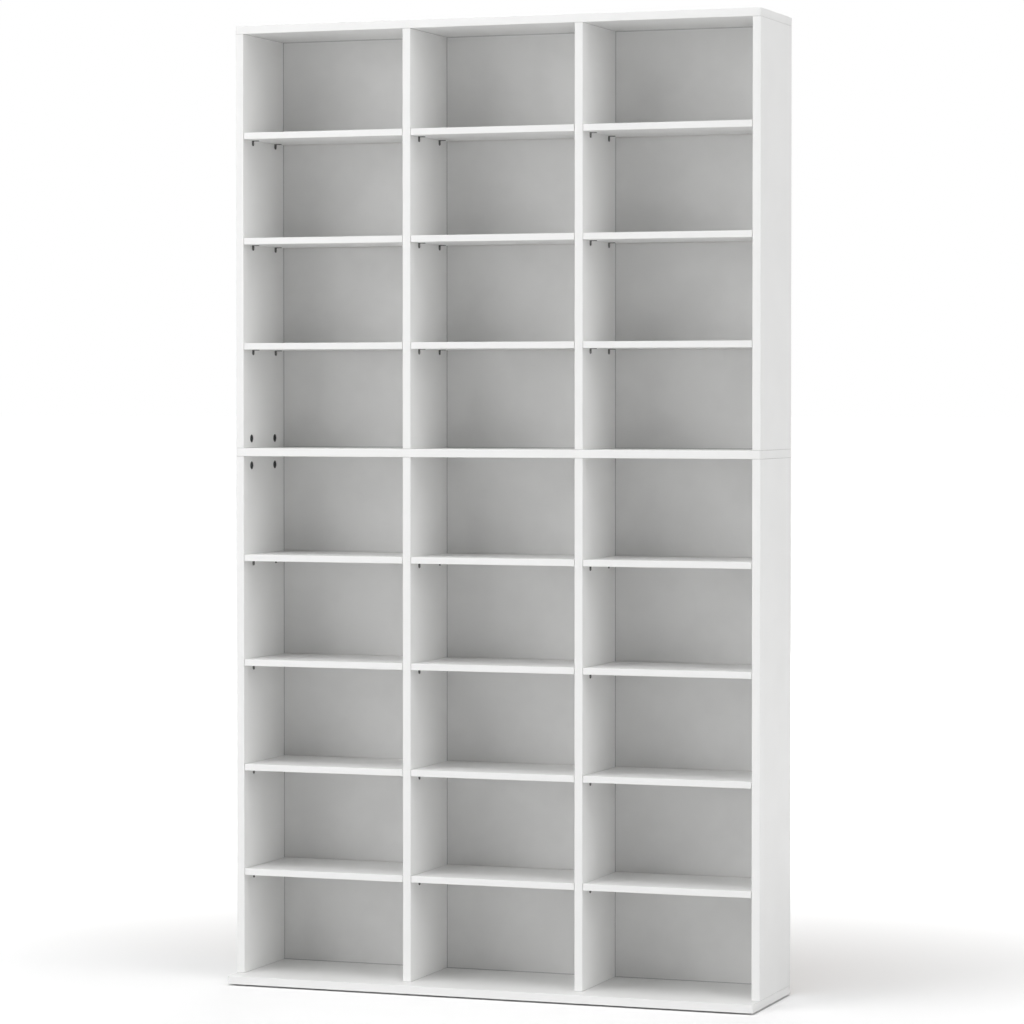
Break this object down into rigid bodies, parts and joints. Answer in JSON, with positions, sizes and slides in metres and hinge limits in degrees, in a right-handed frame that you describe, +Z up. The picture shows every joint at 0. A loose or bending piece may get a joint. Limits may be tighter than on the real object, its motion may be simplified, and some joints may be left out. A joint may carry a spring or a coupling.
{
  "type": "media storage shelf",
  "caption": "Tall shallow white open shelf with three columns of equal compartments, loose shelves on steel supports and a base board that stands out in front; stores disc cases.",
  "frame": {"origin": "on the floor, under the middle of the width and of the whole depth, base overhang included", "axes": "+X to the right seen from the front, +Y from the front to the back, +Z up"},
  "size_m": [1.01, 0.244, 1.7925],
  "materials": {
    "faced_board": "white melamine-faced particleboard with white edge band, satin",
    "back_sheet": "thin hardboard, white-faced inside, bare brown outside",
    "support_steel": "pressed steel with dark nickel plating",
    "cam_zinc": "dark zinc die casting",
    "bolt_steel": "zinc-plated steel",
    "dowel_beech": "plain beech",
    "screw_steel": "zinc-plated steel",
    "cap_plastic": "white moulded plastic",
    "glide_plastic": "pale grey moulded plastic",
    "bracket_steel": "zinc-plated pressed steel"
  },
  "bodies": {
    "carcass": {"top_board": "faced_board", "middle_board": "faced_board", "base_board": "faced_board", "left_side_lower": "faced_board", "left_divider_lower": "faced_board", "right_divider_lower": "faced_board", "right_side_lower": "faced_board", "left_side_upper": "faced_board", "left_divider_upper": "faced_board", "right_divider_upper": "faced_board", "right_side_upper": "faced_board", "back_panel_left_lower": "back_sheet", "back_panel_centre_lower": "back_sheet", "back_panel_right_lower": "back_sheet", "back_panel_left_upper": "back_sheet", "back_panel_centre_upper": "back_sheet", "back_panel_right_upper": "back_sheet", "shelf_supports_1": "support_steel", "shelf_supports_2": "support_steel", "shelf_supports_3": "support_steel", "shelf_supports_4": "support_steel", "shelf_supports_5": "support_steel", "shelf_supports_6": "support_steel", "shelf_supports_7": "support_steel", "cam_locks_lower": "cam_zinc", "cam_locks_upper": "cam_zinc", "cam_bolts": "bolt_steel", "wood_dowels": "dowel_beech", "top_screws": "screw_steel", "base_screws": "screw_steel", "screw_caps": "cap_plastic", "glides": "glide_plastic", "glide_nails": "screw_steel", "wall_brackets": "bracket_steel", "bracket_screws": "screw_steel"},
    "shelf_left_1": {"shelf_left_1": "faced_board"},
    "shelf_centre_1": {"shelf_centre_1": "faced_board"},
    "shelf_right_1": {"shelf_right_1": "faced_board"},
    "shelf_left_2": {"shelf_left_2": "faced_board"},
    "shelf_centre_2": {"shelf_centre_2": "faced_board"},
    "shelf_right_2": {"shelf_right_2": "faced_board"},
    "shelf_left_3": {"shelf_left_3": "faced_board"},
    "shelf_centre_3": {"shelf_centre_3": "faced_board"},
    "shelf_right_3": {"shelf_right_3": "faced_board"},
    "shelf_left_4": {"shelf_left_4": "faced_board"},
    "shelf_centre_4": {"shelf_centre_4": "faced_board"},
    "shelf_right_4": {"shelf_right_4": "faced_board"},
    "shelf_left_5": {"shelf_left_5": "faced_board"},
    "shelf_centre_5": {"shelf_centre_5": "faced_board"},
    "shelf_right_5": {"shelf_right_5": "faced_board"},
    "shelf_left_6": {"shelf_left_6": "faced_board"},
    "shelf_centre_6": {"shelf_centre_6": "faced_board"},
    "shelf_right_6": {"shelf_right_6": "faced_board"},
    "shelf_left_7": {"shelf_left_7": "faced_board"},
    "shelf_centre_7": {"shelf_centre_7": "faced_board"},
    "shelf_right_7": {"shelf_right_7": "faced_board"}
  },
  "joints": [
    {"name": "draw_left_1", "type": "slide", "parent": "carcass", "child": "shelf_left_1", "axis": [0, -1, 0], "range_m": [0, 0.24]},
    {"name": "draw_centre_1", "type": "slide", "parent": "carcass", "child": "shelf_centre_1", "axis": [0, -1, 0], "range_m": [0, 0.24]},
    {"name": "draw_right_1", "type": "slide", "parent": "carcass", "child": "shelf_right_1", "axis": [0, -1, 0], "range_m": [0, 0.24]},
    {"name": "draw_left_2", "type": "slide", "parent": "carcass", "child": "shelf_left_2", "axis": [0, -1, 0], "range_m": [0, 0.24]},
    {"name": "draw_centre_2", "type": "slide", "parent": "carcass", "child": "shelf_centre_2", "axis": [0, -1, 0], "range_m": [0, 0.24]},
    {"name": "draw_right_2", "type": "slide", "parent": "carcass", "child": "shelf_right_2", "axis": [0, -1, 0], "range_m": [0, 0.24]},
    {"name": "draw_left_3", "type": "slide", "parent": "carcass", "child": "shelf_left_3", "axis": [0, -1, 0], "range_m": [0, 0.24]},
    {"name": "draw_centre_3", "type": "slide", "parent": "carcass", "child": "shelf_centre_3", "axis": [0, -1, 0], "range_m": [0, 0.24]},
    {"name": "draw_right_3", "type": "slide", "parent": "carcass", "child": "shelf_right_3", "axis": [0, -1, 0], "range_m": [0, 0.24]},
    {"name": "draw_left_4", "type": "slide", "parent": "carcass", "child": "shelf_left_4", "axis": [0, -1, 0], "range_m": [0, 0.24]},
    {"name": "draw_centre_4", "type": "slide", "parent": "carcass", "child": "shelf_centre_4", "axis": [0, -1, 0], "range_m": [0, 0.24]},
    {"name": "draw_right_4", "type": "slide", "parent": "carcass", "child": "shelf_right_4", "axis": [0, -1, 0], "range_m": [0, 0.24]},
    {"name": "draw_left_5", "type": "slide", "parent": "carcass", "child": "shelf_left_5", "axis": [0, -1, 0], "range_m": [0, 0.24]},
    {"name": "draw_centre_5", "type": "slide", "parent": "carcass", "child": "shelf_centre_5", "axis": [0, -1, 0], "range_m": [0, 0.24]},
    {"name": "draw_right_5", "type": "slide", "parent": "carcass", "child": "shelf_right_5", "axis": [0, -1, 0], "range_m": [0, 0.24]},
    {"name": "draw_left_6", "type": "slide", "parent": "carcass", "child": "shelf_left_6", "axis": [0, -1, 0], "range_m": [0, 0.24]},
    {"name": "draw_centre_6", "type": "slide", "parent": "carcass", "child": "shelf_centre_6", "axis": [0, -1, 0], "range_m": [0, 0.24]},
    {"name": "draw_right_6", "type": "slide", "parent": "carcass", "child": "shelf_right_6", "axis": [0, -1, 0], "range_m": [0, 0.24]},
    {"name": "draw_left_7", "type": "slide", "parent": "carcass", "child": "shelf_left_7", "axis": [0, -1, 0], "range_m": [0, 0.24]},
    {"name": "draw_centre_7", "type": "slide", "parent": "carcass", "child": "shelf_centre_7", "axis": [0, -1, 0], "range_m": [0, 0.24]},
    {"name": "draw_right_7", "type": "slide", "parent": "carcass", "child": "shelf_right_7", "axis": [0, -1, 0], "range_m": [0, 0.24]}
  ]
}
